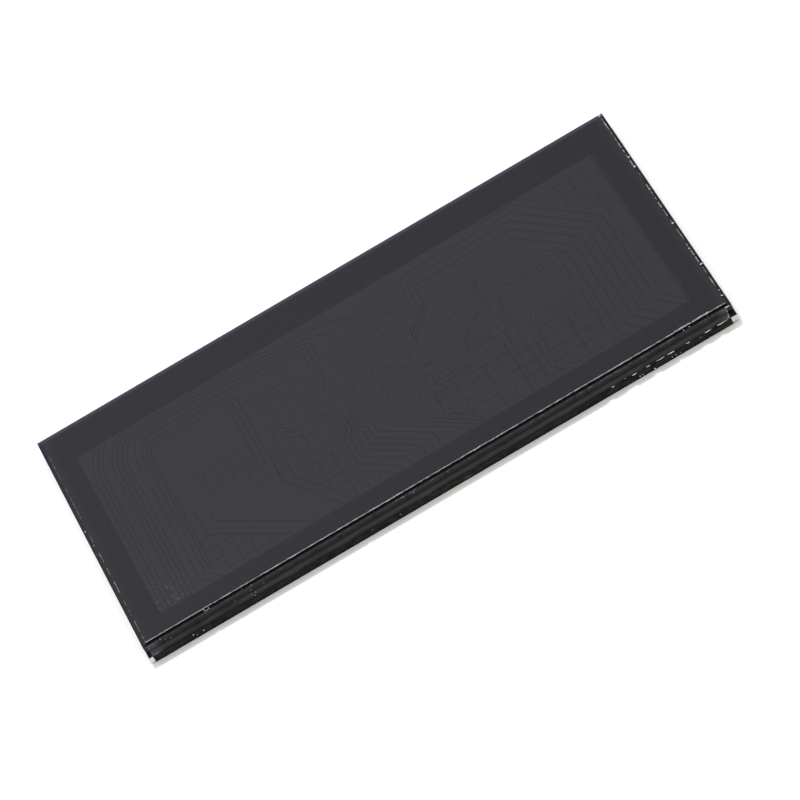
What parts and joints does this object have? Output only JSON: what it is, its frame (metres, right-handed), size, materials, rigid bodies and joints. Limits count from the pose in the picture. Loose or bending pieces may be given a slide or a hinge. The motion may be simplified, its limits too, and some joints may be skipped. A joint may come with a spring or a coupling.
{
  "type": "segment lcd panel",
  "caption": "Bare glass segment LCD panel: two sealed glass plates with polarizing films, electrode layout and a contact ledge along one long edge.",
  "frame": {"origin": "centre of the rear glass plate's outline, on the rear polarizer's outer face that the panel lies on", "axes": "+X along the long edge, +Y from the contact ledge towards the far long edge, +Z out of the viewing face"},
  "size_m": [0.1, 0.0462, 0.0029],
  "materials": {
    "float_glass": "polished, cut edges",
    "polarizing_film": "gloss",
    "transparent_conductor": "clear oxide film",
    "alignment_film": "clear film",
    "liquid_crystal": "liquid",
    "seal_epoxy": "matt",
    "conductive_glue": "silver filled"
  },
  "bodies": {
    "root": {"colon_lower_electrode": "transparent_conductor", "colon_upper_electrode": "transparent_conductor", "column_1_electrode": "transparent_conductor", "column_2_electrode": "transparent_conductor", "column_3_electrode": "transparent_conductor", "column_4_electrode": "transparent_conductor", "column_5_electrode": "transparent_conductor", "common_electrode_lower": "transparent_conductor", "common_electrode_middle": "transparent_conductor", "common_electrode_upper": "transparent_conductor", "common_feed_left": "transparent_conductor", "common_feed_right_inner": "transparent_conductor", "common_feed_right_outer": "transparent_conductor", "crossover_dot_left": "conductive_glue", "crossover_dot_right_inner": "conductive_glue", "crossover_dot_right_outer": "conductive_glue", "digit_1_base_electrode": "transparent_conductor", "digit_1_left_electrode": "transparent_conductor", "digit_1_right_electrode": "transparent_conductor", "digit_1_top_electrode": "transparent_conductor", "digit_2_base_electrode": "transparent_conductor", "digit_2_left_electrode": "transparent_conductor", "digit_2_right_electrode": "transparent_conductor", "digit_2_top_electrode": "transparent_conductor", "digit_3_base_electrode": "transparent_conductor", "digit_3_left_electrode": "transparent_conductor", "digit_3_right_electrode": "transparent_conductor", "digit_3_top_electrode": "transparent_conductor", "digit_4_base_electrode": "transparent_conductor", "digit_4_left_electrode": "transparent_conductor", "digit_4_right_electrode": "transparent_conductor", "digit_4_top_electrode": "transparent_conductor", "fill_port_plug": "seal_epoxy", "front_alignment_layer": "alignment_film", "front_glass": "float_glass", "front_polarizer": "polarizing_film", "level_bar_1_electrode": "transparent_conductor", "level_bar_2_electrode": "transparent_conductor", "level_bar_3_electrode": "transparent_conductor", "level_bar_4_electrode": "transparent_conductor", "liquid_crystal": "liquid_crystal", "marker_1_electrode": "transparent_conductor", "marker_2_electrode": "transparent_conductor", "marker_3_electrode": "transparent_conductor", "marker_4_electrode": "transparent_conductor", "marker_5_electrode": "transparent_conductor", "marker_6_electrode": "transparent_conductor", "marker_7_electrode": "transparent_conductor", "perimeter_seal": "seal_epoxy", "rear_alignment_layer": "alignment_film", "rear_glass": "float_glass", "rear_polarizer": "polarizing_film", "ring_base_electrode": "transparent_conductor", "ring_left_electrode": "transparent_conductor", "ring_right_electrode": "transparent_conductor"}
  },
  "joints": []
}
